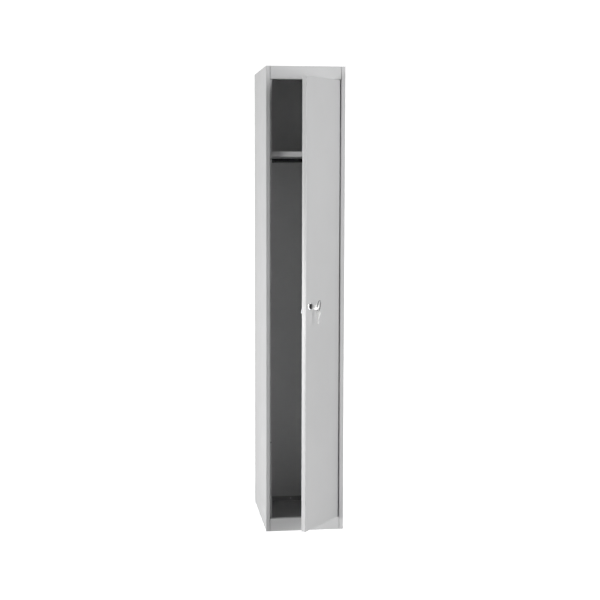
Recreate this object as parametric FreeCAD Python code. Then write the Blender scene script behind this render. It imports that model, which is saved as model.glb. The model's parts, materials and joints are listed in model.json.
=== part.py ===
import FreeCAD, Part
import math
import os

# Single-door sheet-steel clothes locker, modelled with its door standing open.
#
# Frame: millimetres, +Z up, +X to the right as a person faces the door, +Y towards
# the back.  The origin is the centre of the footprint, on the floor.

V = FreeCAD.Vector

# ---------------------------------------------------------------- dimensions
WIDTH = 305.0            # overall width of the carcase
DEPTH = 457.0            # overall depth of the carcase
HEIGHT = 1802.0          # overall height
T = 1.0                  # sheet thickness

STILE_W = 16.0           # face width of the front stiles
STOP_DEPTH = 22.0        # from the front plane to the door stop's face
STOP_W = 9.5             # how far the side stops reach in from the stiles
HEADER_H = 49.0          # header rail height
HEADER_R = 4.0           # outer bend radius under the header
PLINTH_H = 50.0          # plinth rail height
PLINTH_R = 3.0           # outer bend radius on top of the plinth
STOP_H = 10.0            # stiffening lip inside the header and the plinth
HEADER_SEAM = 1.2        # open joint between the header's face and each stile
PLINTH_SEAM = 0.8        # the same at the plinth
BEND_R = 2.0             # outer radius of the carcase's vertical bends
PAN_FLANGE = 19.0        # flange height of the top and floor pans

DOOR_OPEN_DEG = 53.0     # angle at which the door stands in this model
DOOR_T = 18.0            # door thickness over its returns
DOOR_GAP_LOCK = 2.0      # gap at the lock side, and above and below the door
DOOR_GAP_HINGE = 4.0     # gap at the hinge side
DOOR_EDGE_R = 8.0        # rounding of the hinge edge, concentric with the pivots
DOOR_LIP = 12.0          # inward lip of the lock-side return
DOOR_HINGE_RETURN = 16.0 # depth of the hinge-side return

PIVOT_R = 3.0            # pivot pin radius
PIVOT_CLEAR = 0.05       # radial running clearance in the bush

SHELF_TOP = 1481.0       # top face of the hat shelf
SHELF_H = 20.5           # height of the shelf's folded edge
SHELF_SETBACK = 28.0     # from the front plane to the shelf's front lip

RAIL_R = 7.5             # coat rail radius
RAIL_WALL = 1.2
RAIL_Z = 1446.8          # height of the rail's axis
RAIL_Y = 0.0

LOCK_FROM_EDGE = 30.0    # lock axis to the door's free edge
LOCK_Z = 905.0           # height of the lock axis
LOCK_HEAD_R = 9.5
LOCK_BARREL_R = 8.0
LOCK_PROUD = 8.0         # lock face in front of the door face
PLUG_R = 6.0
PLUG_CLEAR = 0.05

BEZEL_R = 13.5           # conical bezel, at the door's face
BEZEL_TOP_R = 10.0
BEZEL_H = 2.4

KEY_T = 1.7              # key sheet thickness
KEY_HOLE_IN = 6.5        # hole centre to the end of the bow
KEY_SHOULDER = 22.9      # hole centre to the shoulder
# half outline of the bow, from its end to its neck: along the key, half width
BOW_LINE = [(-6.5, 0.0), (-6.0, 4.8), (-4.2, 9.2), (-0.2, 11.9), (4.8, 12.2), (10.0, 10.3), (14.2, 7.6), (17.4, 5.9), (19.2, 5.5)]
BLADE_H = 7.2
BLADE_L = 21.0
KEY_HOLE_R = 4.3
KEY_TURN_DEG = -29.0     # how far the key and the plug stand turned in the lock
RING_R = 20.5            # key ring centre-line radius
RING_WIRE_R = 0.60       # half the ring's thickness, across its radius
RING_W = 2.2             # width of its two turns side by side
SPARE_DROP = 1.0         # play between the spare key's hole and the ring
RING_YAW_DEG = 12.0      # the ring's plane, turned from the hole's axis towards the door
RING_LEAN_DEG = 8.0      # the ring's top leans away from the door
RING_RISE_DEG = 4.0      # the ring's centre stands a little above the hole
SPARE_YAW_DEG = -21.0    # the spare key, turned about its length

SIDE_HOLE_R = 3.5        # holes for bolting a neighbouring locker
SIDE_HOLE_Y = 146.5
SIDE_HOLE_Z = (30.0, 1765.0)
FLOOR_HOLE_R = 4.5       # floor fixing holes
FLOOR_HOLE_X = 100.0
FLOOR_HOLE_Y = 170.0

# ---------------------------------------------------------------- derived
XO = WIDTH / 2           # outer face of a side panel
XI = XO - T              # its inner face
XS = XO - STILE_W        # inner edge of a stile
XR = XS - STOP_W         # inner edge of a side stop
YF = -DEPTH / 2          # front plane
YB = DEPTH / 2           # back plane
Z_OPEN0 = PLINTH_H                   # opening, bottom
Z_OPEN1 = HEIGHT - HEADER_H          # opening, top
DX0 = -XS + DOOR_GAP_LOCK            # door's free edge, closed
DX1 = XS - DOOR_GAP_HINGE            # door's hinge edge, closed
DZ0 = Z_OPEN0 + DOOR_GAP_LOCK
DZ1 = Z_OPEN1 - DOOR_GAP_LOCK
HX = DX1 - DOOR_EDGE_R               # pivot axis
HY = YF + DOOR_EDGE_R
LX = DX0 + LOCK_FROM_EDGE            # lock axis, closed


# ---------------------------------------------------------------- helpers
def box(x0, x1, y0, y1, z0, z1):
    return Part.makeBox(x1 - x0, y1 - y0, z1 - z0, V(x0, y0, z0))


def cyl(r, p, d, h):
    return Part.makeCylinder(r, h, V(*p), V(*d))


def fuse(*shapes):
    s = shapes[0].multiFuse(list(shapes[1:])) if len(shapes) > 1 else shapes[0]
    return s.removeSplitter()


def rounded(points, radii):
    """Edges of an open polyline whose inner corners are rounded by the given radii."""
    cut = []
    n = len(points)
    for i, p in enumerate(points):
        if i == 0 or i == n - 1 or radii[i] <= 1e-6:
            cut.append((p, None, p))
            continue
        a = (points[i - 1] - p).normalize()
        b = (points[i + 1] - p).normalize()
        half = math.acos(max(-1.0, min(1.0, a.dot(b)))) / 2
        d = radii[i] / math.tan(half)
        mid_dir = (a + b).normalize()
        centre = p + mid_dir * (radii[i] / math.sin(half))
        cut.append((p + a * d, centre - mid_dir * radii[i], p + b * d))
    edges = []
    for i in range(n):
        s, m, e = cut[i]
        if m is not None:
            edges.append(Part.Arc(s, m, e).toShape())
        if i < n - 1 and (cut[i + 1][0] - e).Length > 1e-6:
            edges.append(Part.LineSegment(e, cut[i + 1][0]).toShape())
    return edges


def folded(path, radii, side, t=T):
    """Closed section of a folded sheet.

    path is the line of one face, side is +1 when the sheet lies to the left of that
    line and -1 when it lies to the right, and radii are the outer bend radii.
    """
    pts = [V(x, y, 0) for x, y in path]
    n = len(pts)
    dirs = [(pts[i + 1] - pts[i]).normalize() for i in range(n - 1)]
    norm = [V(-d.y, d.x, 0) * side for d in dirs]
    other, ra, rb = [], [], []
    for i in range(n):
        if i == 0:
            other.append(pts[0] + norm[0] * t)
            ra.append(0)
            rb.append(0)
        elif i == n - 1:
            other.append(pts[-1] + norm[-1] * t)
            ra.append(0)
            rb.append(0)
        else:
            bis = norm[i - 1] + norm[i]
            other.append(pts[i] + bis * (t / (bis.dot(norm[i]))))
            turn = dirs[i - 1].cross(dirs[i]).z * side
            r = radii[i - 1]
            if turn > 0:      # the sheet is on the inside of this bend
                ra.append(r)
                rb.append(max(r - t, 0))
            else:
                ra.append(max(r - t, 0))
                rb.append(r)
    edges = rounded(pts, ra)
    edges.append(Part.LineSegment(pts[-1], other[-1]).toShape())
    edges += rounded(other[::-1], rb[::-1])
    edges.append(Part.LineSegment(other[0], pts[0]).toShape())
    wire = Part.Wire(Part.__sortEdges__(edges))
    return Part.Face(wire)


def prism_z(face, z0, z1):
    f = face.copy()
    f.translate(V(0, 0, z0))
    return f.extrude(V(0, 0, z1 - z0))


def prism_x(face_yz, x0, x1):
    """face_yz is drawn with its first coordinate along Y and its second along Z."""
    f = face_yz.copy()
    m = FreeCAD.Matrix(0, 0, 1, x0, 1, 0, 0, 0, 0, 1, 0, 0, 0, 0, 0, 1)
    f = f.transformGeometry(m)
    return f.extrude(V(x1 - x0, 0, 0))


def mirror_x(shape):
    return shape.mirror(V(0, 0, 0), V(1, 0, 0))


PARTS = {}


def add(name, *solids):
    flat = []
    for s in solids:
        flat += s.Solids
    for s in flat:
        assert s.isValid(), name
    PARTS[name] = flat[0] if len(flat) == 1 else Part.makeCompound(flat)


def swing(shape):
    """Carry a shape drawn with the door closed to where the door stands."""
    s = shape.copy()
    s.rotate(V(HX, HY, 0), V(0, 0, 1), DOOR_OPEN_DEG)
    return s


# ---------------------------------------------------------------- carcase
# A side panel folds at the front into the stile, the return and the door stop, and at
# the back into a flange that the back panel is welded to.
def left_side():
    section = folded(
        [
            (-XR, YF + STOP_DEPTH),
            (-XS, YF + STOP_DEPTH),
            (-XS, YF),
            (-XO, YF),
            (-XO, YB - T),
            (-XO + 15, YB - T),
        ],
        [T, BEND_R, BEND_R, BEND_R],
        -1,
    )
    s = prism_z(section, 0, HEIGHT)
    # room for the top pan, and for the floor pan
    s = s.cut(box(-XI, 0, YF + T, YB, HEIGHT - PAN_FLANGE - 2.5, HEIGHT + 1))
    s = s.cut(box(-XI, 0, YF + T, YB, -1, T + 0.2))
    s = s.cut(box(-XI, 0, YB - 10, YB, -1, PAN_FLANGE + 2.5))
    # holes for bolting a neighbouring locker
    for z in SIDE_HOLE_Z:
        s = s.cut(cyl(SIDE_HOLE_R, (-XO - 2, SIDE_HOLE_Y, z), (1, 0, 0), 6))
    # screw holes for the rail socket
    for dz in (-10.5, 10.5):
        s = s.cut(cyl(1.7, (-XO - 2, RAIL_Y, RAIL_Z + dz), (1, 0, 0), 6))
    return s


left = left_side()
right = mirror_x(left)
# rivet holes for the lock keeper, and stem holes for the door buffers
KEEPER_Z = (LOCK_Z - 16, LOCK_Z + 16)
STOP_MID = -(XS + XR) / 2
BUFFER_Z = (350.0, 1450.0)
for z in KEEPER_Z:
    left = left.cut(cyl(1.65, (STOP_MID, YF + STOP_DEPTH - 1, z), (0, 1, 0), 3))
for z in BUFFER_Z:
    left = left.cut(cyl(1.6, (STOP_MID, YF + STOP_DEPTH - 1, z), (0, 1, 0), 3))
add("left_side_panel", left)
add("right_side_panel", right)

# Back panel, flat, with the rivet holes of the two pans
RIVET_X = (-110.0, 0.0, 110.0)
RIVET_Z = (10.0, HEIGHT - 11.0)
back = box(-XO, XO, YB - T, YB, 0, HEIGHT)
for x in RIVET_X:
    for z in RIVET_Z:
        back = back.cut(cyl(2.05, (x, YB - 5, z), (0, 1, 0), 8))
add("back_panel", back)

# Top pan, flanges turned down
zt = HEIGHT - T
top = fuse(
    box(-XI, XI, YF + T, YB - T, zt, HEIGHT),
    box(-XS + 4, XS - 4, YF + T, YF + 2 * T, zt - PAN_FLANGE, zt),
    box(-XI, XI, YB - 2 * T, YB - T, zt - PAN_FLANGE, zt),
    box(-XI, -XI + T, YF + T, YB - T, zt - PAN_FLANGE, zt),
    box(XI - T, XI, YF + T, YB - T, zt - PAN_FLANGE, zt),
)
for x in RIVET_X:
    top = top.cut(cyl(2.05, (x, YB - 5, RIVET_Z[1]), (0, 1, 0), 8))
add("top_panel", top)

# Floor pan, flanges turned up: the locker stands on its flat underside
floor = fuse(
    box(-XI, XI, YF + T, YB - T, 0, T),
    box(-XS + 4, XS - 4, YF + T, YF + 2 * T, T, T + PAN_FLANGE),
    box(-XI, XI, YB - 2 * T, YB - T, T, T + PAN_FLANGE),
    box(-XI, -XI + T, YF + STOP_DEPTH + 3, YB - T, T, T + PAN_FLANGE),
    box(XI - T, XI, YF + STOP_DEPTH + 3, YB - T, T, T + PAN_FLANGE),
)
for x in RIVET_X:
    floor = floor.cut(cyl(2.05, (x, YB - 5, RIVET_Z[0]), (0, 1, 0), 8))
for sx in (-1, 1):
    for sy in (-1, 1):
        floor = floor.cut(
            cyl(FLOOR_HOLE_R, (sx * FLOOR_HOLE_X, sy * FLOOR_HOLE_Y, -1), (0, 0, 1), 4)
        )
add("floor_panel", floor)

# Pan rivets: domed head inside, set flush outside
rivets = []
for x in RIVET_X:
    for z in RIVET_Z:
        head = Part.makeSphere(4.0, V(x, YB - 2 * T + 2.4, z))
        head = head.common(box(x - 5, x + 5, YB - 2 * T - 3, YB - 2 * T, z - 5, z + 5))
        rivets.append(fuse(head, cyl(1.95, (x, YB - 2 * T - 0.5, z), (0, 1, 0), 2 * T + 0.5)))
add("back_rivets", *rivets)

# Header rail: face, rounded lower edge, underside, stiffening lip
ZS = STOP_DEPTH
header = prism_x(
    folded(
        [(YF, HEIGHT), (YF, Z_OPEN1), (YF + ZS, Z_OPEN1), (YF + ZS, Z_OPEN1 + STOP_H)],
        [HEADER_R, T],
        1,
    ),
    -XS,
    XS,
)
for s in (-1, 1):
    x0, x1 = sorted((s * (XS - HEADER_SEAM), s * (XS + 1)))
    header = header.cut(box(x0, x1, YF - 1, YF + HEADER_R, Z_OPEN1 - 1, HEIGHT + 1))
header = header.cut(cyl(PIVOT_R + 0.1, (HX, HY, Z_OPEN1 - 2), (0, 0, 1), 6))
add("header_rail", header)

# Plinth rail: face, top, stiffening lip
plinth = prism_x(
    folded(
        [(YF, 0), (YF, Z_OPEN0), (YF + ZS, Z_OPEN0), (YF + ZS, Z_OPEN0 - STOP_H)],
        [PLINTH_R, T],
        -1,
    ),
    -XS,
    XS,
)
for s in (-1, 1):
    x0, x1 = sorted((s * (XS - PLINTH_SEAM), s * (XS + 1)))
    plinth = plinth.cut(box(x0, x1, YF - 1, YF + PLINTH_R, -1, Z_OPEN0 + 1))
plinth = plinth.cut(cyl(PIVOT_R + 0.1, (HX, HY, Z_OPEN0 - 4), (0, 0, 1), 8))
add("plinth_rail", plinth)

# Hat shelf: tray with its edges folded down and a return under the front and sides
SY0 = YF + SHELF_SETBACK
SY1 = YB - 2 * T - 1.5
SZ0 = SHELF_TOP - SHELF_H
shelf_lip = prism_x(
    folded(
        [(SY1, SHELF_TOP), (SY0, SHELF_TOP), (SY0, SZ0), (SY0 + 12, SZ0)],
        [2.0, 2.0],
        1,
    ),
    -XI,
    XI,
)
shelf = fuse(
    shelf_lip,
    box(-XI, -XI + T, SY0 + 4, SY1, SZ0, SHELF_TOP - 0.5),
    box(XI - T, XI, SY0 + 4, SY1, SZ0, SHELF_TOP - 0.5),
    box(-XI, -XI + 14, SY0 + 4, SY1, SZ0, SZ0 + T),
    box(XI - 14, XI, SY0 + 4, SY1, SZ0, SZ0 + T),
    box(-XI, XI, SY1 - T, SY1, SZ0, SHELF_TOP - 0.5),
)
CLIP_Y = (-150.0, 150.0)
CLIP_X = XI - 7.5
for sx in (-1, 1):
    for y in CLIP_Y:
        shelf = shelf.cut(cyl(2.1, (sx * CLIP_X, y, SZ0 - 2), (0, 0, 1), 6))
add("hat_shelf", shelf)

# Shelf clips: short angles welded to the sides, with the shelf screwed down to them
CT = 1.2


def clips(sx):
    out = []
    for y in CLIP_Y:
        leg = box(-XI, -XI + 15, y - 20, y + 20, SZ0 - CT, SZ0)
        web = box(-XI, -XI + CT, y - 20, y + 20, SZ0 - 16, SZ0 - CT)
        c = fuse(leg, web)
        c = c.cut(cyl(2.1, (-CLIP_X, y, SZ0 - 5), (0, 0, 1), 8))
        out.append(c if sx < 0 else mirror_x(c))
    return out


add("left_shelf_clips", *clips(-1))
add("right_shelf_clips", *clips(1))


def pan_screw(x, y, z, up):
    """Pan-head screw whose head's seat is at z and whose shank goes up."""
    head = cyl(4.0, (x, y, z - 2.4), (0, 0, 1), 2.4)
    head = head.makeFillet(1.2, [e for e in head.Edges if abs(e.BoundBox.ZMax - (z - 2.4)) < 1e-6 and e.BoundBox.ZLength < 1e-6])
    shank = cyl(2.0, (x, y, z - 0.5), (0, 0, 1), up + 0.5)
    s = fuse(head, shank)
    cross = fuse(
        box(x - 2.2, x + 2.2, y - 0.4, y + 0.4, z - 2.6, z - 1.2),
        box(x - 0.4, x + 0.4, y - 2.2, y + 2.2, z - 2.6, z - 1.2),
    )
    return s.cut(cross)


screws = []
nuts = []
for sx in (-1, 1):
    for y in CLIP_Y:
        screws.append(pan_screw(sx * CLIP_X, y, SZ0 - CT, 8.0))
        pts = [
            V(sx * CLIP_X + 4.04 * math.cos(math.radians(60 * k)), y + 4.04 * math.sin(math.radians(60 * k)), SZ0 + T)
            for k in range(7)
        ]
        nut = Part.Face(Part.makePolygon(pts)).extrude(V(0, 0, 3.2))
        nuts.append(nut.cut(cyl(2.1, (sx * CLIP_X, y, SZ0), (0, 0, 1), 6)))
add("shelf_screws", *screws)
add("shelf_nuts", *nuts)

# Coat rail, a black tube, in flanged sockets screwed to the sides
FT = 1.5
rail = cyl(RAIL_R, (-XI + FT, RAIL_Y, RAIL_Z), (1, 0, 0), 2 * (XI - FT))
rail = rail.cut(cyl(RAIL_R - RAIL_WALL, (-XI, RAIL_Y, RAIL_Z), (1, 0, 0), 2 * XI))
add("coat_rail", rail)


def socket():
    flange = cyl(13.4, (-XI, RAIL_Y, RAIL_Z), (1, 0, 0), FT)
    collar = cyl(9.6, (-XI, RAIL_Y, RAIL_Z), (1, 0, 0), 12.0)
    s = fuse(flange, collar)
    s = s.cut(cyl(RAIL_R + 0.2, (-XI + FT, RAIL_Y, RAIL_Z), (1, 0, 0), 20))
    for dz in (-10.5, 10.5):
        # the collar is relieved beside each screw head
        s = s.cut(cyl(2.9, (-XI + FT, RAIL_Y, RAIL_Z + dz), (1, 0, 0), 20))
        s = s.cut(cyl(1.7, (-XI - 1, RAIL_Y, RAIL_Z + dz), (1, 0, 0), 6))
    return s


def socket_screws():
    out = []
    for dz in (-10.5, 10.5):
        head = cyl(2.6, (-XI + FT, RAIL_Y, RAIL_Z + dz), (1, 0, 0), 1.6)
        shank = cyl(1.6, (-XO + 0.1, RAIL_Y, RAIL_Z + dz), (1, 0, 0), T + FT + 0.4)
        s = fuse(head, shank)
        s = s.cut(box(-XI + FT + 0.9, -XI + FT + 3, RAIL_Y - 1.8, RAIL_Y + 1.8, RAIL_Z + dz - 0.3, RAIL_Z + dz + 0.3))
        s = s.cut(box(-XI + FT + 0.9, -XI + FT + 3, RAIL_Y - 0.3, RAIL_Y + 0.3, RAIL_Z + dz - 1.8, RAIL_Z + dz + 1.8))
        out.append(s)
    return out


add("left_rail_socket", socket())
add("right_rail_socket", mirror_x(socket()))
add("rail_socket_screws", *(socket_screws() + [mirror_x(s) for s in socket_screws()]))

# Lock keeper: a stiffening plate behind the lock-side stop, which the cam turns behind
KT = 1.2
ky = YF + STOP_DEPTH + T
keeper = box(-XS + 0.3, -XR, ky, ky + KT, LOCK_Z - 25, LOCK_Z + 25)
for z in KEEPER_Z:
    keeper = keeper.cut(cyl(1.65, (STOP_MID, ky - 1, z), (0, 1, 0), 4))
add("lock_keeper", keeper)
krivets = []
for z in KEEPER_Z:
    head = cyl(3.0, (STOP_MID, YF + STOP_DEPTH - 1.0, z), (0, 1, 0), 1.0)
    shank = cyl(1.55, (STOP_MID, YF + STOP_DEPTH - 0.5, z), (0, 1, 0), T + KT + 0.5)
    krivets.append(fuse(head, shank))
add("keeper_rivets", *krivets)

# Rubber buffers that the door's lip closes on
buffers = []
for z in BUFFER_Z:
    y1 = YF + STOP_DEPTH
    y0 = YF + DOOR_T + 0.3
    pad = cyl(3.6, (STOP_MID, y0, z), (0, 1, 0), y1 - y0)
    pad = pad.makeFillet(0.8, [e for e in pad.Edges if abs(e.BoundBox.YMax - y0) < 1e-6])
    stem = cyl(1.5, (STOP_MID, y1 - 0.5, z), (0, 1, 0), T + 2.3)
    barb = Part.makeCone(2.4, 1.0, 2.0, V(STOP_MID, y1 + T, z), V(0, 1, 0))
    buffers.append(fuse(pad, stem, barb))
add("door_buffers", *buffers)


# Pivot pins, riveted into the header's underside and the plinth's top
def pivot_pin(z_face, up):
    d = 1 if up else -1
    s = fuse(
        cyl(4.0, (HX, HY, z_face - d * T), (0, 0, -d), 2.0),
        cyl(PIVOT_R, (HX, HY, z_face - d * (T + 0.5)), (0, 0, d), T + 0.5 + 13.0),
    )
    tip = z_face + d * 13.0
    return s.makeChamfer(0.7, [e for e in s.Edges if abs(e.BoundBox.ZMax - tip) < 1e-6 and abs(e.BoundBox.ZMin - tip) < 1e-6])


add("lower_pivot_pin", pivot_pin(Z_OPEN0, True))
add("upper_pivot_pin", pivot_pin(Z_OPEN1, False))
washer = cyl(6.0, (HX, HY, Z_OPEN0), (0, 0, 1), 0.9).cut(cyl(PIVOT_R + 0.1, (HX, HY, Z_OPEN0 - 1), (0, 0, 1), 3))
add("thrust_washer", washer)

# ---------------------------------------------------------------- door
# Folded tray.  The hinge edge is rolled about the pivot axis, so it turns in its gap.
section_face = folded(
    [
        (DX0 + DOOR_LIP, YF + DOOR_T),
        (DX0, YF + DOOR_T),
        (DX0, YF),
        (DX1, YF),
        (DX1, YF + DOOR_HINGE_RETURN),
    ],
    [1.6, 1.3, DOOR_EDGE_R],
    1,
)
door = prism_z(section_face, DZ0, DZ1)
# top and bottom returns fill the section's inside
inner = box(DX0 + T, DX1 - T, YF + T, YF + DOOR_T, 0, T)
corner = box(HX, DX1, YF, HY, -1, 3).cut(cyl(DOOR_EDGE_R - T + 0.01, (HX, HY, -2), (0, 0, 1), 6))
inner = inner.cut(corner)
inner = inner.cut(box(HX + 3, DX1, YF + DOOR_HINGE_RETURN, YF + DOOR_T + 1, -1, 3))
for z in (DZ0, DZ1 - T):
    p = inner.copy()
    p.translate(V(0, 0, z))
    door = door.fuse(p)
door = door.removeSplitter()
# soften the top and bottom front edges
edges = [
    e
    for e in door.Edges
    if e.BoundBox.ZLength < 1e-6
    and abs(e.BoundBox.YMax - YF) < 1e-6
    and e.BoundBox.XLength > 100
    and (abs(e.BoundBox.ZMin - DZ0) < 1e-6 or abs(e.BoundBox.ZMin - DZ1) < 1e-6)
]
print("door front edges", len(edges))
try:
    soft = door.makeFillet(1.3, edges)
    if soft.isValid():
        door = soft
except Exception as err:
    print("door edge fillet skipped", err)
# lock hole and bush holes
door = door.cut(cyl(LOCK_BARREL_R + 0.2, (LX, YF - 2, LOCK_Z), (0, 1, 0), 6))
BUSH_R = 4.5
for z in (DZ0 - 1, DZ1 - T - 1):
    door = door.cut(cyl(BUSH_R + 0.05, (HX, HY, z), (0, 0, 1), 3))
add("door_panel", swing(door))

# Stiffener: a hat section welded up the inside of the door
ys = YF + T
hat = folded(
    [(-34, ys), (-20, ys), (-16, ys + 13), (16, ys + 13), (20, ys), (34, ys)],
    [1.6, 1.6, 1.6, 1.6],
    1,
)
# its flanges lie flat on the door's inside face
add("door_stiffener", swing(prism_z(hat, DZ0 + 22, DZ1 - 22)))


# Flanged nylon bushes in the door's returns
def bush(z_face, up):
    """z_face is the return's outer face, up points out of the door."""
    d = 1 if up else -1
    s = fuse(
        cyl(6.0, (HX, HY, z_face), (0, 0, d), 0.9),
        cyl(BUSH_R, (HX, HY, z_face + d * 0.3), (0, 0, -d), 10.3),
    )
    return s.cut(cyl(PIVOT_R + PIVOT_CLEAR, (HX, HY, z_face - 20), (0, 0, 1), 40))


add("upper_pivot_bush", swing(bush(DZ1, True)))
add("lower_pivot_bush", swing(bush(DZ0, False)))

# ---------------------------------------------------------------- lock
yl = YF - LOCK_PROUD
bezel = Part.makeCone(BEZEL_R, BEZEL_TOP_R, BEZEL_H - 0.4, V(LX, YF - 0.4, LOCK_Z), V(0, -1, 0))
bezel = fuse(bezel, cyl(BEZEL_R, (LX, YF - 0.4, LOCK_Z), (0, 1, 0), 0.4))
bezel = bezel.cut(cyl(LOCK_BARREL_R + 0.1, (LX, YF - 5, LOCK_Z), (0, 1, 0), 8))
add("lock_bezel", swing(bezel))

head = cyl(LOCK_HEAD_R, (LX, yl, LOCK_Z), (0, 1, 0), LOCK_PROUD - BEZEL_H)
head = head.makeFillet(1.6, [e for e in head.Edges if abs(e.BoundBox.YMax - yl) < 1e-6])
barrel = cyl(LOCK_BARREL_R, (LX, YF - BEZEL_H - 0.5, LOCK_Z), (0, 1, 0), BEZEL_H + 0.5 + 21.0)
body = fuse(head, barrel)
body = body.cut(cyl(PLUG_R + PLUG_CLEAR, (LX, yl - 2, LOCK_Z), (0, 1, 0), 40))
add("lock_body", swing(body))

pts = [
    V(LX + 12.7 * math.cos(math.radians(60 * k + 30)), YF + T, LOCK_Z + 12.7 * math.sin(math.radians(60 * k + 30)))
    for k in range(7)
]
nut = Part.Face(Part.makePolygon(pts)).extrude(V(0, 4.0, 0))
nut = nut.cut(cyl(LOCK_BARREL_R + 0.05, (LX, YF - 2, LOCK_Z), (0, 1, 0), 12))
nut = nut.common(cyl(12.2, (LX, YF + T, LOCK_Z), (0, 1, 0), 4.0))
add("lock_nut", swing(nut))

# Plug: core with the keyway, a boss and a square for the cam
KEYWAY_W = KEY_T + 0.5
KEYWAY_H = BLADE_H + 0.6
plug = fuse(
    cyl(PLUG_R, (LX, yl + 0.4, LOCK_Z), (0, 1, 0), LOCK_PROUD - 0.4 + 21.5),
    cyl(5.0, (LX, YF + 21.0, LOCK_Z), (0, 1, 0), 4.0),
    box(LX - 3.2, LX + 3.2, YF + 24.5, YF + 27.5, LOCK_Z - 3.2, LOCK_Z + 3.2),
)
plug = plug.cut(box(LX - KEYWAY_W / 2, LX + KEYWAY_W / 2, yl - 2, yl + 28.0, LOCK_Z - KEYWAY_H / 2, LOCK_Z + KEYWAY_H / 2))
plug = plug.cut(cyl(1.7, (LX, YF + 21.6, LOCK_Z), (0, 1, 0), 10))


def turned(shape):
    """Turn a piece that rotates with the key about the lock's axis."""
    s = shape.copy()
    s.rotate(V(LX, 0, LOCK_Z), V(0, -1, 0), KEY_TURN_DEG)
    return s


add("lock_plug", swing(turned(plug)))

# Cam, hanging down and turned with the plug while the lock is open
CY0 = YF + 25.0
cam = fuse(
    cyl(7.0, (LX, CY0, LOCK_Z), (0, 1, 0), 2.5),
    box(LX - 7.0, LX + 7.0, CY0, CY0 + 2.5, LOCK_Z - 24.0, LOCK_Z),
    cyl(7.0, (LX, CY0, LOCK_Z - 24.0), (0, 1, 0), 2.5),
)
cam = cam.cut(box(LX - 3.25, LX + 3.25, CY0 - 1, CY0 + 4, LOCK_Z - 3.25, LOCK_Z + 3.25))
add("lock_cam", swing(turned(cam)))
cscrew = fuse(
    cyl(5.2, (LX, CY0 + 2.5, LOCK_Z), (0, 1, 0), 2.4),
    cyl(1.65, (LX, YF + 22.0, LOCK_Z), (0, 1, 0), 6.0),
)
cscrew = cscrew.cut(box(LX - 3, LX + 3, CY0 + 3.7, CY0 + 6, LOCK_Z - 0.4, LOCK_Z + 0.4))
cscrew = cscrew.cut(box(LX - 0.4, LX + 0.4, CY0 + 3.7, CY0 + 6, LOCK_Z - 3, LOCK_Z + 3))
add("cam_screw", swing(turned(cscrew)))


# Keys.  Drawn with the hole at the origin, the blade pointing to +Y and the bow's
# width along Z: the same blank serves the key in the lock and the spare.
def key_blank():
    line = [V(-KEY_T / 2, y, w) for y, w in BOW_LINE]
    back_line = [V(-KEY_T / 2, y, -w) for y, w in BOW_LINE[1:]][::-1]
    curve = Part.BSplineCurve()
    curve.interpolate(back_line + line)
    wire = Part.Wire([curve.toShape(), Part.LineSegment(line[-1], back_line[0]).toShape()])
    bow = Part.Face(wire).extrude(V(KEY_T, 0, 0))
    y_sh = KEY_SHOULDER
    yn, wn = BOW_LINE[-1]
    neck = box(-KEY_T / 2, KEY_T / 2, yn - 0.5, y_sh, -wn + 0.02, wn - 0.02)
    blade = box(-KEY_T / 2, KEY_T / 2, y_sh - 0.5, y_sh + BLADE_L, -BLADE_H / 2, BLADE_H / 2)
    k = fuse(bow, neck, blade)
    k = k.cut(cyl(KEY_HOLE_R, (-5, 0, 0), (1, 0, 0), 10))
    # bitting and the tip's slopes
    tip = y_sh + BLADE_L
    for i, d in enumerate((1.2, 2.1, 0.8, 1.7)):
        yc = y_sh + 4.2 + 3.9 * i
        w = Part.makePolygon([V(-2, yc - 1.9, -BLADE_H / 2 - 0.1), V(-2, yc - 0.6, -BLADE_H / 2 + d), V(-2, yc + 0.6, -BLADE_H / 2 + d), V(-2, yc + 1.9, -BLADE_H / 2 - 0.1), V(-2, yc - 1.9, -BLADE_H / 2 - 0.1)])
        k = k.cut(Part.Face(w).extrude(V(4, 0, 0)))
    for s in (-1, 1):
        w = Part.makePolygon([V(-2, tip + 0.1, s * 1.2), V(-2, tip + 0.1, s * 5), V(-2, tip - 3.2, s * 5), V(-2, tip - 3.2, s * 4.05), V(-2, tip + 0.1, s * 1.2)])
        k = k.cut(Part.Face(w).extrude(V(4, 0, 0)))
    # long groove along one flank of the blade
    k = k.cut(box(KEY_T / 2 - 0.5, KEY_T / 2 + 1, y_sh + 1.0, tip + 1, 0.4, 1.8))
    return k


# key in the lock: its shoulder stops just short of the plug's face
KEY_SHOULDER_Y = yl - 0.1
P1 = V(LX, KEY_SHOULDER_Y - KEY_SHOULDER, LOCK_Z)
key = key_blank()
key.translate(P1)
add("key", swing(turned(key)))

# ring: its wire binds in the hole, so it stands beside the key
a = math.radians(RING_YAW_DEG)
RH = V(math.cos(a), math.sin(a), 0)
a = math.radians(RING_LEAN_DEG)
RV = V(RH.y, -RH.x, 0) * math.sin(a) + V(0, 0, math.cos(a))
a = math.radians(RING_RISE_DEG)
RC = P1 + (RH * math.cos(a) + RV * math.sin(a)) * RING_R
RN = RH.cross(RV)
foot = RC - RN * (RING_W / 2)
ring = Part.makeCylinder(RING_R + RING_WIRE_R, RING_W, foot, RN)
ring = ring.cut(Part.makeCylinder(RING_R - RING_WIRE_R, RING_W + 2, foot - RN, RN))
ring = ring.makeFillet(0.3, [e for e in ring.Edges if len(e.Vertexes) == 1 and e.Curve.TypeId == "Part::GeomCircle"])
add("key_ring", swing(ring))

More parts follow.
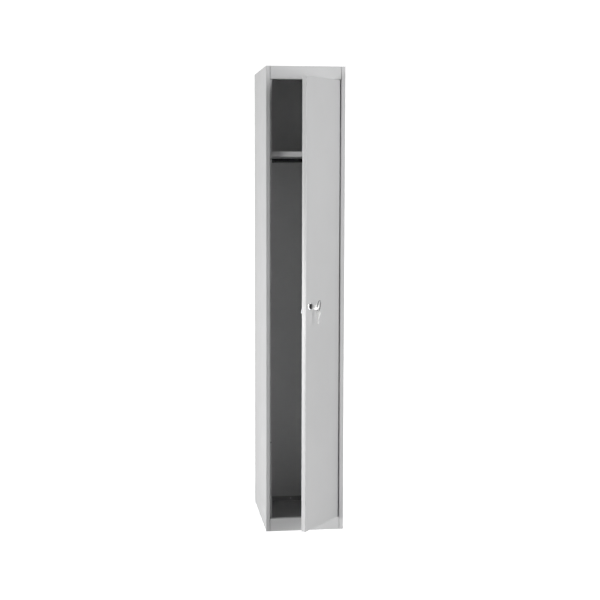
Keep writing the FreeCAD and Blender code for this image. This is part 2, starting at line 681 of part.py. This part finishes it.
# spare key, hanging from the ring's lowest point, turned a little about its length
Q = RC - RV * RING_R
spare = key_blank()
spare.rotate(V(0, 0, 0), V(1, 0, 0), -90)       # blade down
spare.translate(V(0, 0, -(KEY_HOLE_R - RING_WIRE_R - SPARE_DROP)))
spare.rotate(V(0, 0, 0), V(0, 0, 1), SPARE_YAW_DEG)
spare.translate(Q)
add("spare_key", swing(spare))

# ---------------------------------------------------------------- output
os.makedirs("parts", exist_ok=True)
for name, shape in PARTS.items():
    shape.exportStep(os.path.join("parts", name + ".step"))
    print(f"{name:22s} solids {len(shape.Solids)}  volume {shape.Volume:12.1f}  faces {len(shape.Faces)}")


def world(p):
    q = Part.Vertex(p)
    q.rotate(V(HX, HY, 0), V(0, 0, 1), DOOR_OPEN_DEG)
    return [round(c / 1000, 6) for c in (q.X, q.Y, q.Z)]


print("hinge axis", HX, HY)
print("lock axis point", world(V(LX, YF, LOCK_Z)))
print("key hole", world(P1), "ring centre", world(RC), "ring low point", world(Q))
D0 = world(V(0, 0, 0))


def direction(v):
    w = world(v)
    return [(w[i] - D0[i]) * 1000 for i in range(3)]


kt = math.radians(KEY_TURN_DEG)
print("lock axis", direction(V(0, -1, 0)), "key hole axis", direction(V(math.cos(kt), 0, math.sin(kt))), "ring wire axis", direction(RH))
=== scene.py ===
import json
import math

import bmesh
import bpy
import numpy as np
from mathutils import Matrix, Vector


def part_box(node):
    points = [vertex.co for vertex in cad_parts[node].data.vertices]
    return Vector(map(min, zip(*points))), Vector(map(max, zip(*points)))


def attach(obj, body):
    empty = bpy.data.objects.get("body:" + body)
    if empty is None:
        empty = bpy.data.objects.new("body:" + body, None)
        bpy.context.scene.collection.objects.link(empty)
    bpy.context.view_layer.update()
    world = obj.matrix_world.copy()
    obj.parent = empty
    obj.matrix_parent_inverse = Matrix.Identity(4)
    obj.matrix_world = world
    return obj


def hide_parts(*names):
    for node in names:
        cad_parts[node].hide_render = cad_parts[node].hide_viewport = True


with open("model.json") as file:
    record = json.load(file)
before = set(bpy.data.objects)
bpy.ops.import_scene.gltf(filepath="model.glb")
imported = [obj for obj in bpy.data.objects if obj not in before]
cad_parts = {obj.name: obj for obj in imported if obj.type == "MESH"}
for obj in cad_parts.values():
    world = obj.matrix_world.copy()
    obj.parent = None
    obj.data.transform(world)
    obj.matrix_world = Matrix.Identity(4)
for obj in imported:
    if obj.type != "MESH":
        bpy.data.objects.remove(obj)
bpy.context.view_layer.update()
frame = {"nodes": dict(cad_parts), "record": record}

nodes = frame["nodes"]
scene = bpy.context.scene
scene.view_settings.view_transform = "Standard"
scene.view_settings.look = "None"
scene.view_settings.exposure = 0.0
scene.view_settings.gamma = 1.0


# ------------------------------------------------------------------ camera
def make_camera():
    yaw, pitch, roll = math.radians(7.48), math.radians(5.84), math.radians(0.13)
    fwd = Vector((math.sin(yaw) * math.cos(pitch), math.cos(yaw) * math.cos(pitch), -math.sin(pitch)))
    right0 = Vector((math.cos(yaw), -math.sin(yaw), 0))
    up0 = right0.cross(fwd)
    right = right0 * math.cos(roll) + up0 * math.sin(roll)
    up = up0 * math.cos(roll) - right0 * math.sin(roll)
    data = bpy.data.cameras.new("camera")
    data.sensor_width = 36.0
    data.lens = 75.573
    data.clip_start, data.clip_end = 0.1, 60.0
    cam = bpy.data.objects.new("camera", data)
    m = Matrix.Identity(4)
    for i in range(3):
        m[i][0], m[i][1], m[i][2] = right[i], up[i], -fwd[i]
    m[0][3], m[1][3], m[2][3] = -0.6502, -5.0232, 1.4054
    cam.matrix_world = m
    scene.collection.objects.link(cam)
    scene.camera = cam


make_camera()


# ------------------------------------------------------------------ material tools
def new_material(name):
    m = bpy.data.materials.new(name)
    m.use_nodes = True
    nt = m.node_tree
    b = nt.nodes["Principled BSDF"]
    return m, nt, b


def link(nt, a, b):
    nt.links.new(a, b)


def noise(nt, coord, scale, detail=3.0, rough=0.55, dist=0.0):
    n = nt.nodes.new("ShaderNodeTexNoise")
    n.inputs["Scale"].default_value = scale
    n.inputs["Detail"].default_value = detail
    n.inputs["Roughness"].default_value = rough
    n.inputs["Distortion"].default_value = dist
    link(nt, coord, n.inputs["Vector"])
    return n.outputs["Fac"]


def remap(nt, fac, a, b, c, d):
    n = nt.nodes.new("ShaderNodeMapRange")
    n.inputs["From Min"].default_value = a
    n.inputs["From Max"].default_value = b
    n.inputs["To Min"].default_value = c
    n.inputs["To Max"].default_value = d
    link(nt, fac, n.inputs["Value"])
    return n.outputs["Result"]


def ramp(nt, fac, stops):
    n = nt.nodes.new("ShaderNodeValToRGB")
    e = n.color_ramp.elements
    e[0].position, e[0].color = stops[0][0], (*stops[0][1], 1)
    e[1].position, e[1].color = stops[-1][0], (*stops[-1][1], 1)
    for p, c in stops[1:-1]:
        x = e.new(p)
        x.color = (*c, 1)
    link(nt, fac, n.inputs["Fac"])
    return n.outputs["Color"]


def bump(nt, height, strength, distance, normal=None):
    n = nt.nodes.new("ShaderNodeBump")
    n.inputs["Strength"].default_value = strength
    n.inputs["Distance"].default_value = distance
    link(nt, height, n.inputs["Height"])
    if normal is not None:
        link(nt, normal, n.inputs["Normal"])
    return n.outputs["Normal"]


def object_coord(nt):
    return nt.nodes.new("ShaderNodeTexCoord").outputs["Object"]


def powder_coat(name, base, spread=0.02, rough=0.40):
    """Fine orange-peel powder coat: colour, roughness and relief all vary a little."""
    m, nt, b = new_material(name)
    co = object_coord(nt)
    tone = noise(nt, co, 5.0, 4.0, 0.6)
    fleck = noise(nt, co, 2600.0, 2.0, 0.5)
    lo = tuple(c * (1 - spread) for c in base)
    hi = tuple(min(1.0, c * (1 + spread)) for c in base)
    mixed = nt.nodes.new("ShaderNodeMath")
    mixed.operation = "MULTIPLY_ADD"
    link(nt, fleck, mixed.inputs[0])
    mixed.inputs[1].default_value = 0.35
    link(nt, tone, mixed.inputs[2])
    colour = ramp(nt, remap(nt, mixed.outputs[0], 0.45, 0.9, 0.0, 1.0), [(0.0, lo), (1.0, hi)])
    link(nt, colour, b.inputs["Base Color"])
    link(nt, remap(nt, noise(nt, co, 14.0, 5.0, 0.6), 0.3, 0.7, rough - 0.04, rough + 0.04), b.inputs["Roughness"])
    peel = noise(nt, co, 620.0, 2.0, 0.45)
    grain = noise(nt, co, 2400.0, 1.0, 0.5)
    n1 = bump(nt, peel, 0.10, 0.0004)
    n2 = bump(nt, grain, 0.05, 0.0001, n1)
    link(nt, n2, b.inputs["Normal"])
    b.inputs["IOR"].default_value = 1.5
    return m


def metal(name, base, rough=0.25, streak=(1.0, 1.0, 1.0), streak_scale=900.0, spread=0.06, bump_amount=0.06, rough_var=0.08):
    m, nt, b = new_material(name)
    co = object_coord(nt)
    mp = nt.nodes.new("ShaderNodeMapping")
    mp.inputs["Scale"].default_value = streak
    link(nt, co, mp.inputs["Vector"])
    s = noise(nt, mp.outputs["Vector"], streak_scale, 3.0, 0.6)
    blot = noise(nt, co, 160.0, 3.0, 0.6)
    lo = tuple(c * (1 - spread) for c in base)
    hi = tuple(min(1.0, c * (1 + spread)) for c in base)
    link(nt, ramp(nt, remap(nt, blot, 0.3, 0.7, 0.0, 1.0), [(0.0, lo), (1.0, hi)]), b.inputs["Base Color"])
    b.inputs["Metallic"].default_value = 1.0
    link(nt, remap(nt, s, 0.25, 0.75, max(0.03, rough - rough_var), rough + rough_var), b.inputs["Roughness"])
    link(nt, bump(nt, s, bump_amount, 0.00008), b.inputs["Normal"])
    return m


def plastic(name, base, rough=0.45, spread=0.08, grain=1400.0, bump_amount=0.08):
    m, nt, b = new_material(name)
    co = object_coord(nt)
    lo = tuple(c * (1 - spread) for c in base)
    hi = tuple(min(1.0, c * (1 + spread)) for c in base)
    link(nt, ramp(nt, noise(nt, co, 90.0, 4.0, 0.6), [(0.3, lo), (0.7, hi)]), b.inputs["Base Color"])
    link(nt, remap(nt, noise(nt, co, 240.0, 3.0, 0.6), 0.3, 0.7, rough - 0.06, rough + 0.06), b.inputs["Roughness"])
    link(nt, bump(nt, noise(nt, co, grain, 2.0, 0.5), bump_amount, 0.0001), b.inputs["Normal"])
    return m


MATS = {
    "grey_powder_coat": powder_coat("grey_powder_coat", (0.65, 0.652, 0.655)),
    "zinc_plate": metal("zinc_plate", (0.66, 0.67, 0.69), 0.32, bump_amount=0.02),
    "black_enamel": plastic("black_enamel", (0.012, 0.012, 0.013), 0.30, 0.15, 900.0, 0.03),
    "black_plastic": plastic("black_plastic", (0.022, 0.022, 0.024), 0.5),
    "buffer_rubber": plastic("buffer_rubber", (0.42, 0.42, 0.425), 0.65),
    "white_nylon": plastic("white_nylon", (0.75, 0.75, 0.73), 0.4),
    "bright_chrome": metal("bright_chrome", (0.86, 0.87, 0.88), 0.10, spread=0.02, bump_amount=0.02),
    "black_lock_finish": plastic("black_lock_finish", (0.008, 0.008, 0.0085), 0.38, 0.15, 1200.0, 0.03),
    "lock_plug_metal": metal("lock_plug_metal", (0.07, 0.07, 0.072), 0.34),
    "nickel_key": metal("nickel_key", (0.90, 0.90, 0.89), 0.30, streak=(1.0, 1.0, 0.12), streak_scale=1800.0, spread=0.02, bump_amount=0.0, rough_var=0.02),
    "ring_steel": metal("ring_steel", (0.035, 0.035, 0.037), 0.32),
}


for key in ("black_lock_finish", "black_enamel", "black_plastic"):
    MATS[key].node_tree.nodes["Principled BSDF"].inputs["Specular IOR Level"].default_value = 0.3


def give(obj, slot):
    obj.data.materials.clear()
    obj.data.materials.append(MATS[slot])


slot_of = {s["node"]: s["material_slot"] for s in frame["record"]["subparts"]}
for name, obj in nodes.items():
    give(obj, slot_of[name])

# painted shade: the floor pan's colour is darker than the rest, standing in for the shadow that falls on it inside
# the locker
MATS["floor_painted_shade"] = powder_coat("floor_painted_shade", (0.36, 0.361, 0.363), 0.08, 0.46)
give(nodes["floor_panel"], "floor_painted_shade")


# ------------------------------------------------------------------ softened edges
def soften(name, width, segments=2, angle=32.0):
    """Sheared and pressed edges are never knife sharp: round them by a little."""
    obj = nodes[name]
    w = obj.modifiers.new("weld", "WELD")
    w.merge_threshold = 2e-6
    b = obj.modifiers.new("bevel", "BEVEL")
    b.width = width
    b.segments = segments
    b.limit_method = "ANGLE"
    b.angle_limit = math.radians(angle)
    b.use_clamp_overlap = True
    b.harden_normals = True
    b.miter_outer = "MITER_ARC"


SOFT = {
    "lock_cam": 0.0003,
    "cam_screw": 0.0002,
    "lock_nut": 0.0003,
    "shelf_screws": 0.0002,
    "shelf_nuts": 0.0002,
    "rail_socket_screws": 0.00015,
    "left_rail_socket": 0.0003,
    "right_rail_socket": 0.0003,
    "lock_keeper": 0.0002,
    "left_shelf_clips": 0.0002,
    "right_shelf_clips": 0.0002,
    "upper_pivot_pin": 0.0003,
    "lower_pivot_pin": 0.0003,
    "thrust_washer": 0.0001,
    "upper_pivot_bush": 0.0003,
    "lower_pivot_bush": 0.0003,
    "lock_bezel": 0.00015,
    "lock_body": 0.0002,
    "left_side_panel": 0.0003,
    "right_side_panel": 0.0003,
    "header_rail": 0.0003,
    "plinth_rail": 0.0003,
    "door_panel": 0.0003,
    "door_stiffener": 0.0003,
    "hat_shelf": 0.0003,
    "top_panel": 0.0003,
    "floor_panel": 0.0003,
    "back_panel": 0.0003,
}
for name, width in SOFT.items():
    soften(name, width)


# ------------------------------------------------------------------ key ring, two flat turns
def split_ring():
    node = nodes["key_ring"]
    pts = np.array([list(node.matrix_world @ v.co) for v in node.data.vertices])
    lo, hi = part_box("key_ring")
    centre = (np.array(lo) + np.array(hi)) / 2
    spread = np.cov((pts - centre).T)
    values, vectors = np.linalg.eigh(spread)
    normal = vectors[:, 0]
    if normal[1] > 0:
        normal = -normal
    up = np.array([0.0, 0.0, 1.0])
    e2 = up - normal * up.dot(normal)
    e2 /= np.linalg.norm(e2)
    e1 = np.cross(e2, normal)
    radii = np.linalg.norm((pts - centre) - np.outer((pts - centre) @ normal, normal), axis=1)
    outer, inner = radii.max(), radii.min()
    R = (outer + inner) / 2
    axial = np.abs((pts - centre) @ normal).max()
    half_r = (outer - inner) / 2 * 0.98       # the wire's section along the radius
    half_a = axial / 2 * 0.96                 # and along the ring's axis, two turns side by side
    turns, per_turn, around = 2.0, 150, 18
    start = math.radians(50)
    n = int(turns * per_turn) - 5
    bm = bmesh.new()
    rows = []
    for i in range(n + 1):
        t = i / per_turn
        th = start + 2 * math.pi * t
        step = min(max((t - 0.93) / 0.14, 0.0), 1.0)
        step = step * step * (3 - 2 * step)
        z = (step * 2 - 1) * axial / 2
        d_end = min(i, n - i)
        taper = math.sqrt(max(0.0, 1 - (1 - min(d_end / 2.2, 1.0)) ** 2)) * 0.9 + 0.1
        out = e1 * math.cos(th) + e2 * math.sin(th)
        row = []
        for k in range(around):
            a = 2 * math.pi * k / around
            ca, sa = math.cos(a), math.sin(a)
            # rounded rectangle section
            cr = math.copysign(abs(ca) ** 0.6, ca) * half_r * taper
            cz = math.copysign(abs(sa) ** 0.6, sa) * half_a * taper
            row.append(bm.verts.new(centre + out * (R + cr) + normal * (z + cz)))
        rows.append(row)
    for a, b in zip(rows, rows[1:]):
        for k in range(around):
            bm.faces.new((a[k], a[(k + 1) % around], b[(k + 1) % around], b[k]))
    bm.faces.new(rows[0][::-1])
    bm.faces.new(rows[-1])
    bmesh.ops.recalc_face_normals(bm, faces=bm.faces)
    me = bpy.data.meshes.new("split_ring")
    bm.to_mesh(me)
    bm.free()
    for poly in me.polygons:
        poly.use_smooth = True
    obj = bpy.data.objects.new("split_ring", me)
    scene.collection.objects.link(obj)
    give(obj, "ring_steel")
    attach(obj, "ring")
    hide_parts("key_ring")
    return obj


split_ring()


# ------------------------------------------------------------------ stage and light
def area(name, loc, target, size_x, size_y, energy, colour=(1, 1, 1)):
    d = bpy.data.lights.new(name, "AREA")
    d.shape = "RECTANGLE"
    d.size, d.size_y = size_x, size_y
    d.energy = energy
    d.color = colour
    o = bpy.data.objects.new(name, d)
    o.location = loc
    o.rotation_mode = "QUATERNION"
    o.rotation_quaternion = (Vector(target) - Vector(loc)).to_track_quat("-Z", "Y")
    scene.collection.objects.link(o)
    return o


def polar(az, dist, z):
    """Azimuth 0 is in front of the locker, positive to its right."""
    a = math.radians(az)
    return (dist * math.sin(a), -dist * math.cos(a), z)


def make_stage():
    bm = bmesh.new()
    prof = [(-9.0, 0.0), (2.2, 0.0)]
    for k in range(1, 17):
        t = math.radians(90 * k / 16)
        prof.append((2.2 + 1.6 * math.sin(t), 1.6 * (1 - math.cos(t))))
    prof.append((3.8, 6.0))
    # the floor has a separate dark patch just inside the locker's footprint: painted shade, a near-black unlit
    # patch standing in for the shadow where no light gets in
    lo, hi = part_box("floor_panel")
    px = (hi[0] - lo[0]) / 2 - 0.012
    py0, py1 = lo[1] + 0.012, hi[1] - 0.012
    prof = [prof[0], (py0, 0.0), (py1, 0.0)] + prof[1:]
    xs = (-14.0, -px, px, 14.0)
    rows = []
    for y, z in prof:
        rows.append([bm.verts.new((x, y, z)) for x in xs])
    for j, (a, b) in enumerate(zip(rows, rows[1:])):
        for i in range(3):
            f = bm.faces.new((a[i], a[i + 1], b[i + 1], b[i]))
            if i == 1 and j == 1:
                f.material_index = 1
    me = bpy.data.meshes.new("studio_floor")
    bm.to_mesh(me)
    bm.free()
    for p in me.polygons:
        p.use_smooth = True
    o = bpy.data.objects.new("studio_floor", me)
    scene.collection.objects.link(o)
    m, nt, b = new_material("studio_white")
    b.inputs["Base Color"].default_value = (0.86, 0.86, 0.86, 1)
    b.inputs["Roughness"].default_value = 0.9
    b.inputs["Emission Color"].default_value = (1, 1, 1, 1)
    b.inputs["Emission Strength"].default_value = 0.80
    me.materials.append(m)
    # painted shade: a near-black, non-glowing floor patch in place of the shadow under the locker
    dark, _, d = new_material("painted_shade_under_locker")
    d.inputs["Base Color"].default_value = (0.05, 0.05, 0.05, 1)
    d.inputs["Roughness"].default_value = 0.9
    me.materials.append(dark)
    o.visible_diffuse = False
    return o


make_stage()
LIGHTS = {
    "key_a": (polar(34, 4.2, 2.25), (0, 0, 1.1), 0.9, 1.2, 22.0),
    "key_c": (polar(38, 4.2, 1.5), (0, 0, 0.9), 1.5, 2.0, 100.0),
    "left_front": (polar(-30, 4.2, 0.7), (0, 0, 0.5), 0.8, 0.8, 8.0),
    "left_box": (polar(-66, 3.2, 0.72), (0, 0, 0.9), 0.4, 0.35, 21.0),
    "left_low": (polar(-60, 3.2, 0.40), (0, 0, 0.3), 0.8, 0.4, 51.0),
    "left_side": (polar(-112, 3.2, 1.2), (0, 0, 0.9), 1.0, 1.6, 3.0),
    "left_high": (polar(-72, 3.0, 3.1), (0, -0.4, 0.9), 0.9, 0.9, 8.0),
    "top_soft": ((0.0, 0.0, 4.0), (0.0, 0.0, 1.8), 0.24, 0.24, 30.0),
    "floor_glow": ((0.2, -0.75, 0.02), (0.2, -0.75, 2.0), 0.9, 0.6, 0.35),
    "right_fill": (polar(112, 3.6, 1.5), (0, 0, 1.0), 1.2, 1.8, 3.0),
    "back_fill": (polar(152, 3.3, 1.7), (0, 0, 1.0), 1.2, 1.8, 26.0),
}
for n, (loc, tgt, sx, sy, e) in LIGHTS.items():
    o = area(n, loc, tgt, sx, sy, e)
    if n.startswith("floor_glow"):
        o.visible_camera = False
w = bpy.data.worlds.new("studio_world")
w.use_nodes = True
w.node_tree.nodes["Background"].inputs["Color"].default_value = (1, 1, 1, 1)
w.node_tree.nodes["Background"].inputs["Strength"].default_value = 0.6
scene.world = w
w.cycles_visibility.diffuse = False
